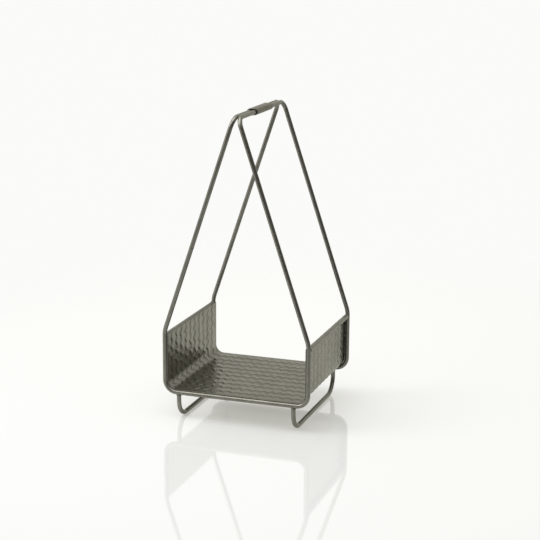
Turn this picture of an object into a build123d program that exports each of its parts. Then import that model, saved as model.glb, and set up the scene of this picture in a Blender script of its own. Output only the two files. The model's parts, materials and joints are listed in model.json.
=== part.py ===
from build123d import *
import math
import os

# A carrier for firewood, bent and welded from round steel bar, with a hammered sheet tray.
# X runs across the two gable frames, Y from front to back, Z up. All sizes are in millimetres.
# The origin is on the floor, at the centre of the footprint.

# Round bar, the same stock throughout
bar_d = 10.0

# Gable frames, measured between bar centre lines
frame_width = 336.0
frame_depth = 300.0
base_height = 61.0
shoulder_height = 202.0
handle_height = 686.0
corner_bend_r = 27.0
shoulder_bend_r = 62.0

# Butt joints in the sloping legs: their height, the weld metal's width and how far it stands proud
butt_height = 397.0
butt_gap = 1.6
butt_crown = 0.45

# Handle bails: gap between the two bars side by side, and bend radius at each end of the run
bail_gap = 0.3
top_bend_r = 22.0

# Handle sleeve: a sheet rolled round both bails, with its seam underneath
sleeve_length = 105.0
sleeve_shift = 5.0
sleeve_wall = 1.5
sleeve_gap = 0.9
seam_width = 2.4
seam_crown = 0.5
seam_depth = 5.3

# Tray sheet: rests against the inner sides of the bars, its edges just short of their centre lines
sheet_t = 1.5
seat_gap = 0.2
sheet_inset = 0.5
sheet_above_rim = 2.3

# Rim rods: how far their centre lines lie below the start of the shoulder bends
rim_drop = 1.4

# Foot loops: distance in from the end of the corner bend, bend radius, and the flat ground underneath
foot_inset = 6.0
foot_bend_r = 39.0
sole_flat = 0.4

# Weld collars where a square bar end meets the side of another bar
root_gap = 0.6
collar_reach = 0.8
collar_rise = 2.0
collar_wrap = 2.0

# Weld stitches between the tray sheet and the bars, and how many lie side by side in each row
stitch_length = 18.0
stitch_r = 1.8
stitch_bite = 1.0
floor_stitch_count = 4
side_stitch_count = 2
rim_stitch_count = 3

# Worked out from the sizes above
bar_r = bar_d / 2
half_width = frame_width / 2
half_depth = frame_depth / 2
bail_x = (bar_d + bail_gap) / 2
lean = math.atan2(half_width - bail_x, handle_height - shoulder_height)
rim_height = shoulder_height - shoulder_bend_r * math.tan(lean / 2) - rim_drop
sheet_side = half_width - bar_r - seat_gap
sheet_bottom = base_height + bar_r + seat_gap
sheet_top = rim_height + sheet_above_rim
straight_half = half_width - corner_bend_r
foot_x = straight_half - foot_inset

# A stitch bites into the sheet and the bar beside it: its depth off the sheet, and its distance
# from the bar's centre line, straight and then measured along the sheet
stitch_off_sheet = stitch_r - stitch_bite
stitch_from_bar = bar_r + stitch_r - stitch_bite
stitch_across = math.sqrt(stitch_from_bar ** 2 - (bar_r + seat_gap - stitch_off_sheet) ** 2)

SIDES = (("left", -1), ("right", 1))
ENDS = (("front", -1), ("rear", 1))


def save(name, shape):
    """Write one named piece to its own file."""
    shape.label = name
    export_step(shape, "parts/" + name + ".step")


def round_bar(points, radii):
    """Round bar bent along a path of straight runs, with one bend radius for each corner."""
    path = FilletPolyline(*points, radius=radii)
    section = Plane(origin=path @ 0, z_dir=path % 0) * Circle(bar_r)
    return sweep(section, path=path)


def on_leg(side, y, along):
    """Point on a sloping leg's centre line, at a distance up the leg from its butt joint."""
    low = Vector(side * half_width, y, shoulder_height)
    high = Vector(side * bail_x, y, handle_height)
    slope = (high - low).normalized()
    return low + slope * ((butt_height - shoulder_height) / slope.Z + along)


def gable_frame(end):
    """One bar: the bottom run, both uprights, and the lower part of both sloping legs."""
    y = end * half_depth
    points = [on_leg(-1, y, -butt_gap / 2),
              Vector(-half_width, y, shoulder_height),
              Vector(-half_width, y, base_height),
              Vector(half_width, y, base_height),
              Vector(half_width, y, shoulder_height),
              on_leg(1, y, -butt_gap / 2)]
    return round_bar(points, [shoulder_bend_r, corner_bend_r, corner_bend_r, shoulder_bend_r])


def handle_bail(side):
    """One bar: the upper part of a front and a rear sloping leg, joined by a level run at the top."""
    x = side * bail_x
    points = [on_leg(side, -half_depth, butt_gap / 2),
              Vector(x, -half_depth, handle_height),
              Vector(x, half_depth, handle_height),
              on_leg(side, half_depth, butt_gap / 2)]
    return round_bar(points, [top_bend_r, top_bend_r])


def butt_weld(side, end):
    """Slightly proud ring of weld metal between the two square bar ends of a sloping leg."""
    half_gap = butt_gap / 2
    crown = ThreePointArc((bar_r, -half_gap), (bar_r + butt_crown, 0), (bar_r, half_gap))
    closing = Polyline((bar_r, half_gap), (0, half_gap), (0, -half_gap), (bar_r, -half_gap))
    ring = revolve(Plane.XZ * make_face(crown + closing), Axis.Z)
    centre = on_leg(side, end * half_depth, 0)
    up_leg = on_leg(side, end * half_depth, half_gap) - centre
    return Plane(origin=centre, z_dir=up_leg) * ring


def sleeve_slot(wall):
    """Racetrack outline round both bails, with the running gap and a wall added all round."""
    return SlotCenterToCenter(2 * bail_x, bar_d + 2 * (sleeve_gap + wall))


def along_handle(section, length):
    """Extrude a section drawn across the handle, centred on the sleeve."""
    middle = Plane(origin=(0, sleeve_shift, handle_height), x_dir=(1, 0, 0), z_dir=(0, -1, 0))
    return extrude(middle * section, length / 2, both=True)


def seam_section(top, bottom):
    """Upright strip on the handle's centre line, between two depths below the bar centres."""
    return Pos(0, -(top + bottom) / 2) * Rectangle(seam_width, bottom - top)


def handle_sleeve():
    """Sheet rolled round the two bails, open by the width of the seam underneath."""
    ring = sleeve_slot(sleeve_wall) - sleeve_slot(0)
    return along_handle(ring - seam_section(0, bar_d), sleeve_length)


def sleeve_seam(bails):
    """Weld run that closes the sleeve's seam and reaches up into the valley between the bails."""
    face = bar_r + sleeve_gap + sleeve_wall
    run = along_handle(seam_section(face - seam_depth, face + seam_crown), sleeve_length)
    return run - bails


def tray_profile(side, bottom, radius):
    """Upright U with rounded corners, closed across the top."""
    top = sheet_top
    bend = FilletPolyline((-side, top), (-side, bottom), (side, bottom), (side, top), radius=radius)
    return make_face(bend + Line((side, top), (-side, top)))


def tray_sheet():
    """One sheet bent up at both sides, open at the front and rear."""
    outer_r = corner_bend_r - bar_r - seat_gap
    outer = tray_profile(sheet_side, sheet_bottom, outer_r)
    inner = tray_profile(sheet_side - sheet_t, sheet_bottom + sheet_t, outer_r - sheet_t)
    return extrude(Plane.XZ * (outer - inner), half_depth - sheet_inset, both=True)


def rim_rod(side):
    """Straight bar between the front and rear uprights, along the tray's upper edge."""
    middle = Plane(origin=(side * half_width, 0, rim_height), z_dir=(0, 1, 0))
    return extrude(middle * Circle(bar_r), half_depth - bar_r - root_gap, both=True)


def foot_loop(side):
    """U of bar under the tray, from the front bar to the rear bar, ground flat where it stands."""
    top = base_height - bar_r - root_gap
    run = bar_r - sole_flat
    x = side * foot_x
    points = [(x, -half_depth, top), (x, -half_depth, run), (x, half_depth, run), (x, half_depth, top)]
    loop = round_bar(points, [foot_bend_r, foot_bend_r])
    below_floor = Pos(x, 0, -bar_d / 2) * Box(2 * bar_d, 2 * frame_depth, bar_d)
    return loop - below_floor


def weld_collar(seat, away, neighbours):
    """Ring of weld metal round a square bar end, against the side of another bar.

    The seat is the point of the crossing bar's surface on the axis of the joined bar, and away
    points along the joined bar.
    """
    foot = root_gap + collar_rise
    bulge = ThreePointArc((bar_r, -collar_wrap), (bar_r + collar_reach, 0), (bar_r, foot))
    closing = Polyline((bar_r, foot), (0, foot), (0, -collar_wrap), (bar_r, -collar_wrap))
    ring = revolve(Plane.XZ * make_face(bulge + closing), Axis.Z)
    return Plane(origin=seat, z_dir=away) * ring - neighbours


def rim_weld(side, end, neighbours):
    """Collar where a rim rod meets an upright."""
    seat = (side * half_width, end * (half_depth - bar_r), rim_height)
    return weld_collar(seat, (0, -end, 0), neighbours)


def foot_weld(side, end, neighbours):
    """Collar where a foot loop meets the bottom run of a gable frame."""
    seat = (side * foot_x, end * half_depth, base_height - bar_r)
    return weld_collar(seat, (0, 0, -1), neighbours)


def stitch(centre, direction):
    """Short bead of weld with rounded ends, before the bar and the sheet are cut out of it."""
    run = Vector(*direction) * ((stitch_length - 2 * stitch_r) / 2)
    middle = Vector(*centre)
    plane = Plane(origin=middle - run, z_dir=run)
    bead = extrude(plane * Circle(stitch_r), 2 * run.length)
    for tip in (middle - run, middle + run):
        bead = bead + Pos(tip.X, tip.Y, tip.Z) * Sphere(stitch_r)
    return bead


def spread(low, high, count):
    """Middles of equal shares of a span."""
    share = (high - low) / count
    return [low + share * (number + 0.5) for number in range(count)]


def frame_stitches(end, neighbours):
    """Stitches that hold the tray sheet to one gable frame, in the corner on the bar's inner side."""
    y = end * (half_depth - stitch_across)
    beads = [stitch((x, y, sheet_bottom - stitch_off_sheet), (1, 0, 0))
             for x in spread(-straight_half, straight_half, floor_stitch_count)]
    for side_name, side in SIDES:
        x = side * (sheet_side + stitch_off_sheet)
        heights = spread(base_height + corner_bend_r, rim_height - bar_r, side_stitch_count)
        beads += [stitch((x, y, z), (0, 0, 1)) for z in heights]
    return Compound(children=[bead - neighbours for bead in beads])


def rim_stitches(side, neighbours):
    """Stitches that hold the tray sheet's side to its rim rod, in the corner under the rod."""
    x = side * (sheet_side + stitch_off_sheet)
    z = rim_height - stitch_across
    reach = half_depth - bar_d
    beads = [stitch((x, y, z), (0, 1, 0)) for y in spread(-reach, reach, rim_stitch_count)]
    return Compound(children=[bead - neighbours for bead in beads])


os.makedirs("parts", exist_ok=True)

frames = {name: gable_frame(end) for name, end in ENDS}
bails = {name: handle_bail(side) for name, side in SIDES}
rims = {name: rim_rod(side) for name, side in SIDES}
feet = {name: foot_loop(side) for name, side in SIDES}
sheet = tray_sheet()

for end_name, end in ENDS:
    save(end_name + "_frame", frames[end_name])
    save(end_name + "_tray_stitches", frame_stitches(end, [frames[end_name], sheet]))

for side_name, side in SIDES:
    save(side_name + "_bail", bails[side_name])
    save(side_name + "_rim_rod", rims[side_name])
    save(side_name + "_foot", feet[side_name])
    save(side_name + "_rim_stitches", rim_stitches(side, [rims[side_name], sheet]))

for end_name, end in ENDS:
    for side_name, side in SIDES:
        corner = end_name + "_" + side_name
        save(corner + "_leg_weld", butt_weld(side, end))
        save(corner + "_rim_weld", rim_weld(side, end, [frames[end_name], rims[side_name], sheet]))
        save(corner + "_foot_weld", foot_weld(side, end, [frames[end_name], feet[side_name]]))

save("tray_sheet", sheet)
save("handle_sleeve", handle_sleeve())
save("sleeve_seam_weld", sleeve_seam([bails["left"], bails["right"]]))
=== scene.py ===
import json
import math
import random

import bpy
from mathutils import Matrix, Vector


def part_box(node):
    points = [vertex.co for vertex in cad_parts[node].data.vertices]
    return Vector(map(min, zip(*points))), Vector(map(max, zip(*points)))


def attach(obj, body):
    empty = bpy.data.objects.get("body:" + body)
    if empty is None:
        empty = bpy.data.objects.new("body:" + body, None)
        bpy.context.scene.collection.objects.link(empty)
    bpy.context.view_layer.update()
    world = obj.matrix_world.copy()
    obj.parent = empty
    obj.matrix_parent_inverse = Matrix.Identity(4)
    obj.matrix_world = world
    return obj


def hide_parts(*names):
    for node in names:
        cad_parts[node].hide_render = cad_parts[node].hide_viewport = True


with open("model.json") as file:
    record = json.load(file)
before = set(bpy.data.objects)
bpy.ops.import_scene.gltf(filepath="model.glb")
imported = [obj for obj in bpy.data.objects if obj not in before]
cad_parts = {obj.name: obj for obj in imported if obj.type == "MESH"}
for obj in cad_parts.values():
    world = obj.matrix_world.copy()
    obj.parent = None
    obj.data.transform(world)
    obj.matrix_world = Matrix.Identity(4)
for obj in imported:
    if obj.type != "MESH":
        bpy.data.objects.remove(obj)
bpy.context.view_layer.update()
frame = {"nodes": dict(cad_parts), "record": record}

# The camera: where it stands in metres, its turn to the left, its tilt down and its roll in degrees,
# its focal length in image widths, and its sensor's width in millimetres
CAMERA_PLACE = (1.1097, -3.1406, 1.1435)
CAMERA_TURN = 19.02
CAMERA_TILT = 13.873
CAMERA_ROLL = 0.374
FOCAL_WIDTHS = 1516.4 / 540
SENSOR_WIDTH = 36

# Vertices nearer to each other, or to a line, than this many metres count as being at one place
SAME_PLACE = 1e-5

# The tray sheet, in metres: thickness, outer bend radius, and the size of one cell of its fine grid
SHEET_T = 0.0015
SHEET_BEND_R = 0.0218
SHEET_CELL = 0.002

# How far the dressed sheet runs past the solid one at the front and rear, so that no light shows
# between its ends and the bars
SHEET_LAP = 0.0012

# The sheet's rounded edges: the width of the rounding in metres, the faces across it, and the least
# angle in degrees at which an edge is rounded. Below the second angle, faces are shaded as one surface
SHEET_ROUNDING = 0.0003
SHEET_ROUNDING_FACES = 2
SHEET_EDGE_ANGLE = 60
SHEET_SMOOTH_ANGLE = 40

# The hammered pattern, in metres: columns of overlapping blows run along the bent sheet, and each column
# ends in a scalloped step. The number of columns across the depth, the length of one blow and how far it
# bulges, the depth of the dents, the share of a column that its step takes, the height of the low ridge
# between two blows as a share of the depth, and the plain margins at the sheet's edges
COLUMN_COUNT = 11
BLOW_LENGTH = 0.0205
BLOW_BULGE = 0.0108
DENT_DEPTH = 0.00115
STEP_SHARE = 0.24
BLOW_RIDGE = 0.12
MARGIN_ENDS = 0.014
MARGIN_TOP = 0.006

# The least width of a column in metres, so that two steps that nearly meet don't make a cliff
COLUMN_LEAST = 0.004

# A step's scallops: what rounds the corner between two of them, and about the mean of their bulge, so
# that they lie to both sides of the step's own line
SCALLOP_ROUNDING = 0.02
SCALLOP_MIDDLE = 0.6

# How far the hammering strays from step to step: the seed of its random draws, the farthest that a step
# is shifted in metres and that its blows are turned in radians, and the least and the most of its bulge
# as a share, of its drift in radians and of its sway in metres
HAND_SEED = 11
STEP_SHIFT = 0.0025
BLOW_TURN = 0.6
BULGE_RANGE = (0.75, 1.2)
DRIFT_RANGE = (0, 6.3)
SWAY_RANGE = (0.0004, 0.0012)

# How far the hammering strays along a step, in slow waves given in radians per metre: one moves the
# blows along the row by up to so many radians, one changes their bulge by up to so large a share, and
# one carries the sway
WANDER_WAVE = 37
WANDER_REACH = 0.6
SWELL_WAVE = 87
SWELL_REACH = 0.35
SWAY_WAVE = 29

# The handle sleeve, in metres: the number of sides round it and of stretches along it, the rolled
# sheet's thickness as its ends show it, the half width of the open seam underneath, the rounding of its
# ends and the faces across that, and how uneven the rolling left it, in clouds of what size
SLEEVE_SIDES = 32
SLEEVE_RINGS = 14
SLEEVE_WALL = 0.002
SLEEVE_SEAM_HALF = 0.0012
SLEEVE_ROUNDING = 0.0005
SLEEVE_ROUNDING_FACES = 3
SLEEVE_UNEVEN = 0.0004
SLEEVE_CLOUD = 0.02

# The angle in degrees from which the sleeve's edges are rounded, and below which it is shaded smooth
SLEEVE_EDGE_ANGLE = 50

# The lacquer's noises, each with its patches per metre, its detail and, where it isn't plain, its
# roughness: clouds and specks of tone, a fine grain, and the lines and patches of the rubs
CLOUD_NOISE = (26.0, 4.0)
GRAIN_NOISE = (900.0, 2.0)
SPECK_NOISE = (320.0, 3.0)
LINE_NOISE = (240.0, 4.0, 0.7)
PATCH_NOISE = (34.0, 2.0)

# The part of each noise's range that runs from none to all
CLOUD_RANGE = (0.36, 0.66)
SPECK_RANGE = (0.35, 0.7)
LINE_RANGE = (0.56, 0.68)
PATCH_RANGE = (0.5, 0.72)

# What share of the tone comes from clouds and from specks, and of the height from grain and from specks
TONE_CLOUD = 0.65
TONE_SPECK = 0.35
HEIGHT_GRAIN = 0.4
HEIGHT_SPECK = 0.6

# How many times as light as the light tone a rub is; and the painted shade along the hammered steps,
# which stands in
# for the shading of their flanks: what share of the tone a crest keeps under it, and the part of the
# relief it covers
RUB_TONE = 1.9
CREST_PAINTED_SHADE = 0.4
CREST_SHADE_RANGE = (0.6, 1.0)

# The ripple of a weld bead, the height of the bumps in metres, the tint of the gloss, and the clear coat
BEAD_RIPPLE = {"Scale": 130.0, "Distortion": 6.0, "Detail": 2.0}
BUMP_HEIGHT = 0.0004
GLOSS_TINT = (0.86, 0.85, 0.78, 1)
COAT_WEIGHT = 0.06
COAT_ROUGHNESS = 0.2

# The floor: its radius in metres and its sides, its look, the distances in metres from the middle over
# which it fades out, and how strongly and in what colour it glows by itself, as a backlit sheet does,
# for what the camera sees and what gloss mirrors
FLOOR_RADIUS = 3.0
FLOOR_SIDES = 96
FLOOR_COLOUR = (0.38, 0.385, 0.4, 1)
FLOOR_ROUGHNESS = 0.04
FLOOR_IOR = 1.9
FLOOR_FADE = (0.6, 1.9)
FLOOR_GLOW = 0.42
GLOW_COLOUR = (0.93, 0.92, 0.85, 1)

# The backdrop that the camera sees
BACKDROP_COLOUR = (0.962, 0.966, 0.945, 1)
BACKDROP_STRENGTH = 1.0

# The room that lights the object and is mirrored in it: its dark and bright colours, how bright its
# bright sides are, and over which part of each direction it turns bright: to the rear, the left and above
ROOM_DARK = (0.11, 0.108, 0.1, 1)
ROOM_BRIGHT = (0.96, 0.955, 0.93, 1)
ROOM_SHARE = 0.9
REAR_RANGE = (0.5, 0.92)
LEFT_RANGE = (-0.1, -0.8)
ABOVE_RANGE = (0.3, 0.75)


# Small helpers for modelling by hand

def select_none():
    """Leave no object selected."""
    bpy.ops.object.select_all(action='DESELECT')


def edit(piece):
    """Open one piece in edit mode, with nothing selected."""
    bpy.context.view_layer.objects.active = piece
    bpy.ops.object.mode_set(mode='EDIT')
    bpy.ops.mesh.select_all(action='DESELECT')


def close():
    """Go back to object mode."""
    bpy.ops.object.mode_set(mode='OBJECT')


def pick(piece, wanted):
    """Select the vertices whose place passes a test."""
    bpy.ops.mesh.select_all(action='DESELECT')
    bpy.ops.object.mode_set(mode='OBJECT')
    for vertex in piece.data.vertices:
        vertex.select = wanted(vertex.co)
    bpy.ops.object.mode_set(mode='EDIT')


def thicken(piece, thickness, offset):
    """Give a surface a thickness: along its normals at an offset of 1, against them at -1."""
    wall = piece.modifiers.new("wall", 'SOLIDIFY')
    wall.thickness = thickness
    wall.offset = offset


def round_edges(piece, width, faces, angle):
    """Round the edges that turn by more than an angle in degrees."""
    edge = piece.modifiers.new("edge", 'BEVEL')
    edge.width = width
    edge.segments = faces
    edge.limit_method = 'ANGLE'
    edge.angle_limit = math.radians(angle)


def apply_modifiers(piece):
    """Apply each modifier of a piece in turn."""
    bpy.context.view_layer.objects.active = piece
    for modifier in list(piece.modifiers):
        bpy.ops.object.modifier_apply(modifier=modifier.name)


# Materials

def new_group(name, inputs, outputs):
    """An empty shader node group with named inputs and outputs."""
    group = bpy.data.node_groups.new(name, 'ShaderNodeTree')
    for label, kind in inputs:
        group.interface.new_socket(name=label, in_out='INPUT', socket_type=kind)
    for label, kind in outputs:
        group.interface.new_socket(name=label, in_out='OUTPUT', socket_type=kind)
    return group, group.nodes.new("NodeGroupInput"), group.nodes.new("NodeGroupOutput")


def fill(tree, socket, value):
    """Link another node's output to an input, or set the input to a plain value."""
    if isinstance(value, bpy.types.NodeSocket):
        tree.links.new(value, socket)
    else:
        socket.default_value = value


def node(tree, kind, sockets=None, **settings):
    """Add a node, with its settings and with values or links on its inputs."""
    made = tree.nodes.new(kind)
    for key, value in settings.items():
        setattr(made, key, value)
    for key, value in (sockets or {}).items():
        fill(tree, made.inputs[key], value)
    return made


def object_point(tree):
    """The point on the piece, in metres."""
    return node(tree, "ShaderNodeTexCoord").outputs["Object"]


def noise(tree, point, scale, detail, roughness=0.55):
    """Soft noise from 0 to 1; the scale is in patches per metre."""
    made = node(tree, "ShaderNodeTexNoise",
                {"Vector": point, "Scale": scale, "Detail": detail, "Roughness": roughness})
    return made.outputs["Fac"]


def ramp(tree, value, low, high, start=0.0, end=1.0):
    """Map a value's range from low to high onto start to end, held at both ends."""
    made = node(tree, "ShaderNodeMapRange", {"Value": value, "From Min": low, "From Max": high,
                                             "To Min": start, "To Max": end})
    return made.outputs["Result"]


def sums(tree, operation, a, b):
    """One arithmetic step."""
    return node(tree, "ShaderNodeMath", {0: a, 1: b}, operation=operation).outputs[0]


def blend_colour(tree, factor, a, b):
    """Colour between two colours, which are inputs 6 and 7 and output 2 of a mix node."""
    return node(tree, "ShaderNodeMix", {0: factor, 6: a, 7: b}, data_type='RGBA').outputs[2]


def mix_shaders(tree, factor, a, b):
    """Mix two shaders."""
    return node(tree, "ShaderNodeMixShader", {0: factor, 1: a, 2: b}).outputs[0]


def make_lacquer_group():
    """Dark lacquer on steel: cloudy tone, a fine grain, and a slightly uneven gloss."""
    group, given, out = new_group(
        "lacquer_cloud",
        [("Tone", 'NodeSocketColor'), ("Light Tone", 'NodeSocketColor'),
         ("Gloss Low", 'NodeSocketFloat'), ("Gloss High", 'NodeSocketFloat')],
        [("Colour", 'NodeSocketColor'), ("Roughness", 'NodeSocketFloat'), ("Height", 'NodeSocketFloat')])
    point = object_point(group)
    cloud = ramp(group, noise(group, point, *CLOUD_NOISE), *CLOUD_RANGE)
    grain = noise(group, point, *GRAIN_NOISE)
    speck = ramp(group, noise(group, point, *SPECK_NOISE), *SPECK_RANGE)
    shade = sums(group, 'ADD', sums(group, 'MULTIPLY', cloud, TONE_CLOUD),
                 sums(group, 'MULTIPLY', speck, TONE_SPECK))
    colour = blend_colour(group, shade, given.outputs["Tone"], given.outputs["Light Tone"])
    spread = sums(group, 'SUBTRACT', given.outputs["Gloss High"], given.outputs["Gloss Low"])
    rough = sums(group, 'ADD', given.outputs["Gloss Low"], sums(group, 'MULTIPLY', spread, speck))
    height = sums(group, 'ADD', sums(group, 'MULTIPLY', grain, HEIGHT_GRAIN),
                  sums(group, 'MULTIPLY', speck, HEIGHT_SPECK))
    group.links.new(colour, out.inputs["Colour"])
    group.links.new(rough, out.inputs["Roughness"])
    group.links.new(height, out.inputs["Height"])
    return group


def make_rub_group():
    """Fine rubs and scratches where a piece is handled: a mask from 0 to 1."""
    group, given, out = new_group(
        "hand_rubs",
        [("Amount", 'NodeSocketFloat'), ("Stretch", 'NodeSocketVector')],
        [("Mask", 'NodeSocketFloat')])
    point = node(group, "ShaderNodeVectorMath", {0: object_point(group), 1: given.outputs["Stretch"]},
                 operation='MULTIPLY').outputs[0]
    lines = ramp(group, noise(group, point, *LINE_NOISE), *LINE_RANGE)
    patches = ramp(group, noise(group, object_point(group), *PATCH_NOISE), *PATCH_RANGE)
    mask = sums(group, 'MULTIPLY', sums(group, 'MULTIPLY', lines, patches), given.outputs["Amount"])
    group.links.new(mask, out.inputs["Mask"])
    return group


def steel(name, tone, light_tone, gloss, metal, bump, rub, stretch=(1.0, 1.0, 1.0), bead=0.0, relief=0.0):
    """Lacquered steel: cloudy tone and rubs, and where asked a weld bead's ripple or painted shade on the
    hammered crests.
    """
    material = bpy.data.materials.new(name)
    material.use_nodes = True
    tree = material.node_tree
    shader = tree.nodes["Principled BSDF"]
    lacquer = node(tree, "ShaderNodeGroup", node_tree=LACQUER)
    lacquer.inputs["Tone"].default_value = tone + (1,)
    lacquer.inputs["Light Tone"].default_value = light_tone + (1,)
    lacquer.inputs["Gloss Low"].default_value = gloss[0]
    lacquer.inputs["Gloss High"].default_value = gloss[1]
    rubs = node(tree, "ShaderNodeGroup", node_tree=RUBS)
    rubs.inputs["Amount"].default_value = rub
    rubs.inputs["Stretch"].default_value = stretch
    colour = blend_colour(tree, rubs.outputs["Mask"], lacquer.outputs["Colour"],
                          tuple(min(1.0, channel * RUB_TONE) for channel in light_tone) + (1,))
    height = lacquer.outputs["Height"]
    # Painted shade: the colour darkens towards each hammered step's crest, standing in for the shading of
    # the step's flank
    if relief:
        crest = node(tree, "ShaderNodeAttribute", attribute_name="hammer_relief").outputs["Fac"]
        colour = blend_colour(tree, ramp(tree, crest, *CREST_SHADE_RANGE, end=relief), colour,
                              tuple(channel * CREST_PAINTED_SHADE for channel in tone) + (1,))
    if bead:
        ripple = node(tree, "ShaderNodeTexWave", {"Vector": object_point(tree), **BEAD_RIPPLE},
                      wave_type='RINGS').outputs["Fac"]
        height = sums(tree, 'ADD', height, sums(tree, 'MULTIPLY', ripple, bead))
    raised = node(tree, "ShaderNodeBump", {"Height": height, "Strength": bump, "Distance": BUMP_HEIGHT})
    tree.links.new(colour, shader.inputs["Base Color"])
    tree.links.new(lacquer.outputs["Roughness"], shader.inputs["Roughness"])
    tree.links.new(raised.outputs["Normal"], shader.inputs["Normal"])
    shader.inputs["Metallic"].default_value = metal
    shader.inputs["Specular Tint"].default_value = GLOSS_TINT
    shader.inputs["Coat Weight"].default_value = COAT_WEIGHT
    shader.inputs["Coat Roughness"].default_value = COAT_ROUGHNESS
    return material


def dress(piece, material):
    """Give a piece one material."""
    piece.data.materials.clear()
    piece.data.materials.append(material)


# The hammered tray sheet

def lay_tray_grid():
    """The sheet's outer face as a fine grid: a flat floor, two rounded corners and two upright sides."""
    low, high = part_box("tray_sheet")
    straight = high[0] - SHEET_BEND_R
    depth = high[1] - low[1] + 2 * SHEET_LAP
    across = round(2 * straight / SHEET_CELL)
    along = round(depth / SHEET_CELL)
    select_none()
    bpy.ops.mesh.primitive_grid_add(x_subdivisions=across, y_subdivisions=along, size=1,
                                    location=(0, 0, low[2]))
    sheet = bpy.context.object
    sheet.name = "hammered_tray"
    edit(sheet)
    bpy.ops.mesh.select_all(action='SELECT')
    bpy.ops.transform.resize(value=(2 * straight, depth, 1), center_override=(0, 0, low[2]))
    rise = high[2] - low[2] - SHEET_BEND_R
    rows = round(rise / SHEET_CELL)
    bends = round(SHEET_BEND_R * math.pi / 2 / SHEET_CELL)
    for side in (-1, 1):
        pick(sheet, lambda co: abs(co.x - side * straight) < SAME_PLACE)
        bpy.ops.mesh.spin(steps=bends, angle=side * math.pi / 2, dupli=False, axis=(0, 1, 0),
                          center=(side * straight, 0, low[2] + SHEET_BEND_R))
        for _ in range(rows):
            bpy.ops.mesh.extrude_region_move(TRANSFORM_OT_translate={"value": (0, 0, rise / rows)})
    bpy.ops.mesh.select_all(action='SELECT')
    bpy.ops.mesh.remove_doubles(threshold=SAME_PLACE)
    bpy.ops.mesh.normals_make_consistent(inside=False)
    close()
    bpy.ops.object.transform_apply(location=True, rotation=True, scale=True)
    middle = min(sheet.data.polygons, key=lambda face: (face.center - Vector((0, 0, low[2]))).length)
    if middle.normal.z < 0:
        edit(sheet)
        bpy.ops.mesh.select_all(action='SELECT')
        bpy.ops.mesh.flip_normals()
        close()
    return sheet, straight, rise, low, high


def along_profile(point, straight, bottom):
    """Distance along the bent sheet from the middle of its floor."""
    side = 1 if point.x > 0 else -1
    if abs(point.x) <= straight:
        return point.x
    if point.z >= bottom + SHEET_BEND_R:
        return side * (straight + SHEET_BEND_R * math.pi / 2 + point.z - bottom - SHEET_BEND_R)
    turn = math.atan2(abs(point.x) - straight, bottom + SHEET_BEND_R - point.z)
    return side * (straight + SHEET_BEND_R * turn)


def lay_steps(half_depth):
    """One scalloped step after another across the depth, each a little uneven as if hammered by eye."""
    hand = random.Random(HAND_SEED)
    pitch = 2 * half_depth / COLUMN_COUNT
    steps = []
    for count in range(-1, COLUMN_COUNT + 2):
        steps.append({"v": -half_depth + count * pitch + hand.uniform(-STEP_SHIFT, STEP_SHIFT),
                      "turn": hand.uniform(-BLOW_TURN, BLOW_TURN),
                      "bulge": BLOW_BULGE * hand.uniform(*BULGE_RANGE),
                      "drift": hand.uniform(*DRIFT_RANGE),
                      "sway": hand.uniform(*SWAY_RANGE)})
    return steps


def blow_turn(step, u):
    """How far along a step's row of blows a point lies, half a turn for each blow."""
    wander = WANDER_REACH * math.sin(u * WANDER_WAVE + step["drift"])
    return math.pi * u / BLOW_LENGTH + step["turn"] + wander


def step_place(step, u):
    """Where a step lies across the depth, at a distance along the bent sheet."""
    arc = math.sqrt(math.sin(blow_turn(step, u)) ** 2 + SCALLOP_ROUNDING)
    bulge = step["bulge"] * (1 + SWELL_REACH * math.sin(u * SWELL_WAVE + 2 * step["drift"]))
    sway = step["sway"] * math.sin(u * SWAY_WAVE + step["drift"])
    return step["v"] + bulge * (arc - SCALLOP_MIDDLE) + sway


def dent_height(u, v, steps):
    """Height at a point: 1 on the crest of each step, falling to 0 in the dent before the next one."""
    places = [step_place(step, u) for step in steps]
    index = max((count for count, place in enumerate(places) if place <= v), default=0)
    before = places[index]
    after = places[min(index + 1, len(places) - 1)]
    across = (v - before) / max(after - before, COLUMN_LEAST)
    if across < 1 - STEP_SHARE:
        height = (1 - across / (1 - STEP_SHARE)) ** 2
    else:
        climb = min(1.0, (across - 1 + STEP_SHARE) / STEP_SHARE)
        height = climb * climb * (3 - 2 * climb)
    ridge = BLOW_RIDGE * (1 - abs(math.sin(blow_turn(steps[index], u)))) ** 2
    return min(1.0, height + ridge * (1 - height))


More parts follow.
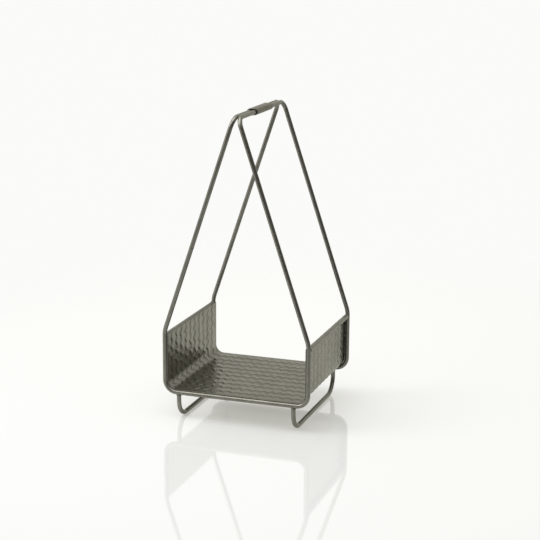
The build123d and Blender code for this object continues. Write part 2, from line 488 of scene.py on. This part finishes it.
def hammered_tray(material):
    """One sheet bent up at both sides and hammered all over from the inside."""
    sheet, straight, rise, low, high = lay_tray_grid()
    half_run = straight + SHEET_BEND_R * math.pi / 2 + rise
    half_depth = high[1] + SHEET_LAP
    steps = lay_steps(half_depth)
    heights = []
    for vertex in sheet.data.vertices:
        u = along_profile(vertex.co, straight, low[2])
        v = vertex.co.y
        fade = min(1.0, (half_depth - abs(v)) / MARGIN_ENDS, (half_run - abs(u)) / MARGIN_TOP)
        heights.append(dent_height(u, v, steps) * max(0.0, fade))
    # The relief is kept on the sheet for its material, which paints shade along the hammered steps from
    # it
    relief = sheet.data.attributes.new("hammer_relief", 'FLOAT', 'POINT')
    relief.data.foreach_set("value", heights)
    group = sheet.vertex_groups.new(name="pressed")
    for index, height in enumerate(heights):
        group.add([index], height, 'REPLACE')
    press = sheet.modifiers.new("press", 'DISPLACE')
    press.direction = 'NORMAL'
    press.mid_level = 0.0
    press.strength = DENT_DEPTH
    press.vertex_group = "pressed"
    thicken(sheet, SHEET_T, 1.0)
    apply_modifiers(sheet)
    round_edges(sheet, SHEET_ROUNDING, SHEET_ROUNDING_FACES, SHEET_EDGE_ANGLE)
    apply_modifiers(sheet)
    sheet.vertex_groups.clear()
    select_none()
    sheet.select_set(True)
    bpy.context.view_layer.objects.active = sheet
    bpy.ops.object.shade_smooth_by_angle(angle=math.radians(SHEET_SMOOTH_ANGLE))
    dress(sheet, material)
    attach(sheet, "root")
    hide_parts("tray_sheet")


# The handle sleeve

def rolled_sleeve(material):
    """A sheet rolled by hand round both bails, with an open seam underneath and rounded ends."""
    low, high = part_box("handle_sleeve")
    middle = [(a + b) / 2 for a, b in zip(low, high)]
    length = high[1] - low[1]
    radius = (high[2] - low[2]) / 2
    shift = (high[0] - low[0]) / 2 - radius
    select_none()
    bpy.ops.mesh.primitive_cylinder_add(vertices=SLEEVE_SIDES, radius=radius, depth=length,
                                        end_fill_type='NOTHING', location=middle,
                                        rotation=(math.pi / 2, 0, 0))
    sleeve = bpy.context.object
    sleeve.name = "rolled_sleeve"
    bpy.ops.object.transform_apply(location=True, rotation=True, scale=True)
    edit(sleeve)
    bpy.ops.mesh.select_all(action='SELECT')
    bpy.ops.transform.rotate(value=math.pi / SLEEVE_SIDES, orient_axis='Y', center_override=middle)
    for side in (-1, 1):
        pick(sleeve, lambda co: side * co.x > 0)
        bpy.ops.transform.translate(value=(side * shift, 0, 0))
    for side in (-1, 1):
        bpy.ops.mesh.select_all(action='SELECT')
        bpy.ops.mesh.bisect(plane_co=(side * SLEEVE_SEAM_HALF, 0, 0), plane_no=(1, 0, 0))
    pick(sleeve, lambda co: abs(co.x) < SLEEVE_SEAM_HALF + SAME_PLACE and co.z < middle[2])
    bpy.ops.mesh.delete(type='ONLY_FACE')
    bpy.ops.mesh.select_mode(type='EDGE')
    bpy.ops.mesh.select_loose(extend=False)
    bpy.ops.mesh.delete(type='EDGE')
    bpy.ops.mesh.select_mode(type='VERT')
    for number in range(1, SLEEVE_RINGS):
        bpy.ops.mesh.select_all(action='SELECT')
        bpy.ops.mesh.bisect(plane_co=(0, low[1] + length * number / SLEEVE_RINGS, 0), plane_no=(0, 1, 0))
    close()
    uneven = sleeve.modifiers.new("hand rolling", 'DISPLACE')
    uneven.texture = bpy.data.textures.new("hand rolling", 'CLOUDS')
    uneven.texture.noise_scale = SLEEVE_CLOUD
    uneven.strength = SLEEVE_UNEVEN
    thicken(sleeve, SLEEVE_WALL, -1.0)
    round_edges(sleeve, SLEEVE_ROUNDING, SLEEVE_ROUNDING_FACES, SLEEVE_EDGE_ANGLE)
    apply_modifiers(sleeve)
    bpy.ops.object.shade_smooth_by_angle(angle=math.radians(SLEEVE_EDGE_ANGLE))
    dress(sleeve, material)
    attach(sleeve, "root")
    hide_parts("handle_sleeve")


# The stage

def set_camera():
    """Stand the camera at the photograph's viewing angle."""
    data = bpy.data.cameras.new("camera")
    data.sensor_fit = 'HORIZONTAL'
    data.sensor_width = SENSOR_WIDTH
    data.lens = SENSOR_WIDTH * FOCAL_WIDTHS
    camera = bpy.data.objects.new("camera", data)
    bpy.context.scene.collection.objects.link(camera)
    turn = Matrix.Rotation(math.radians(CAMERA_TURN), 4, 'Z')
    tilt = Matrix.Rotation(math.radians(90 - CAMERA_TILT), 4, 'X')
    roll = Matrix.Rotation(math.radians(CAMERA_ROLL), 4, 'Z')
    camera.matrix_world = Matrix.Translation(CAMERA_PLACE) @ turn @ tilt @ roll
    bpy.context.scene.camera = camera


def lay_floor():
    """A pale glossy floor that fades into the backdrop all round."""
    select_none()
    bpy.ops.mesh.primitive_circle_add(vertices=FLOOR_SIDES, radius=FLOOR_RADIUS, fill_type='NGON',
                                      location=(0, 0, 0))
    floor = bpy.context.object
    floor.name = "floor"
    material = bpy.data.materials.new("pale floor")
    material.use_nodes = True
    tree = material.node_tree
    shader = tree.nodes["Principled BSDF"]
    shader.inputs["Base Color"].default_value = FLOOR_COLOUR
    shader.inputs["Roughness"].default_value = FLOOR_ROUGHNESS
    shader.inputs["IOR"].default_value = FLOOR_IOR
    path = node(tree, "ShaderNodeLightPath")
    seen = sums(tree, 'MAXIMUM', path.outputs["Is Camera Ray"], path.outputs["Is Glossy Ray"])
    glow = node(tree, "ShaderNodeEmission",
                {"Color": GLOW_COLOUR, "Strength": sums(tree, 'MULTIPLY', seen, FLOOR_GLOW)})
    lit = node(tree, "ShaderNodeAddShader", {0: shader.outputs[0], 1: glow.outputs[0]}).outputs[0]
    distance = node(tree, "ShaderNodeVectorMath", {0: object_point(tree)},
                    operation='LENGTH').outputs["Value"]
    fade = ramp(tree, distance, *FLOOR_FADE)
    fade.node.interpolation_type = 'SMOOTHSTEP'
    clear = node(tree, "ShaderNodeBsdfTransparent")
    faded = mix_shaders(tree, fade, lit, clear.outputs[0])
    tree.links.new(faded, tree.nodes["Material Output"].inputs["Surface"])
    dress(floor, material)


def hang_softbox(name, place, aim, size, power):
    """A square softbox pointed at a place, its size in metres and its power in watts."""
    data = bpy.data.lights.new(name, 'AREA')
    data.shape = 'SQUARE'
    data.size = size
    data.energy = power
    lamp = bpy.data.objects.new(name, data)
    lamp.location = place
    lamp.rotation_euler = (Vector(aim) - Vector(place)).to_track_quat('-Z', 'Y').to_euler()
    bpy.context.scene.collection.objects.link(lamp)


def light_scene():
    """A pale backdrop for the camera, a room for the object, and softboxes on the left and above.

    The room is bright behind, on the left and above, and dark at the front right.
    """
    world = bpy.data.worlds.new("studio")
    world.use_nodes = True
    tree = world.node_tree
    backdrop = tree.nodes["Background"]
    backdrop.inputs["Color"].default_value = BACKDROP_COLOUR
    backdrop.inputs["Strength"].default_value = BACKDROP_STRENGTH
    room = node(tree, "ShaderNodeBackground")
    way = node(tree, "ShaderNodeSeparateXYZ", {0: node(tree, "ShaderNodeTexCoord").outputs["Generated"]})
    rear, left, above = (sums(tree, 'MULTIPLY', ramp(tree, way.outputs[axis], *limits), ROOM_SHARE)
                         for axis, limits in (("Y", REAR_RANGE), ("X", LEFT_RANGE), ("Z", ABOVE_RANGE)))
    bright = sums(tree, 'MAXIMUM', sums(tree, 'MAXIMUM', rear, left), above)
    colour = blend_colour(tree, bright, ROOM_DARK, ROOM_BRIGHT)
    tree.links.new(colour, room.inputs["Color"])
    camera_ray = node(tree, "ShaderNodeLightPath").outputs["Is Camera Ray"]
    shown = mix_shaders(tree, camera_ray, room.outputs[0], backdrop.outputs[0])
    tree.links.new(shown, tree.nodes["World Output"].inputs["Surface"])
    bpy.context.scene.world = world
    hang_softbox("left softbox", place=(-2.6, -1.6, 2.2), aim=(0, 0, 0.25), size=1.8, power=60)
    hang_softbox("top softbox", place=(-0.4, -0.6, 2.8), aim=(0, 0, 0.2), size=2.0, power=40)


set_camera()
lay_floor()
light_scene()

LACQUER = make_lacquer_group()
RUBS = make_rub_group()

bar_steel = steel("dark lacquered bar", tone=(0.17, 0.167, 0.142), light_tone=(0.25, 0.245, 0.208),
                  gloss=(0.3, 0.42), metal=0.9, bump=0.14, rub=0.5)
# The hammered sheet's relief darkens its steps with painted shade
tray_steel = steel("hammered dark sheet", tone=(0.16, 0.157, 0.131), light_tone=(0.225, 0.221, 0.186),
                   gloss=(0.24, 0.34), metal=0.92, bump=0.12, rub=0.4, relief=0.45)
sleeve_steel = steel("rolled dark sheet", tone=(0.105, 0.1, 0.075), light_tone=(0.15, 0.144, 0.11),
                     gloss=(0.3, 0.42), metal=0.9, bump=0.2, rub=0.8, stretch=(1.0, 0.06, 1.0))
weld_steel = steel("lacquered weld bead", tone=(0.1, 0.098, 0.082), light_tone=(0.17, 0.166, 0.14),
                   gloss=(0.36, 0.55), metal=0.85, bump=0.6, rub=0.3, bead=1.2)
SLOT_STEEL = {"bar_steel": bar_steel, "hammered_sheet": tray_steel, "sleeve_sheet": sleeve_steel,
              "weld_metal": weld_steel}

for part in frame["record"]["subparts"]:
    dress(frame["nodes"][part["node"]], SLOT_STEEL[part["material_slot"]])

hammered_tray(tray_steel)
rolled_sleeve(sleeve_steel)

bpy.context.scene.view_settings.view_transform = 'Standard'
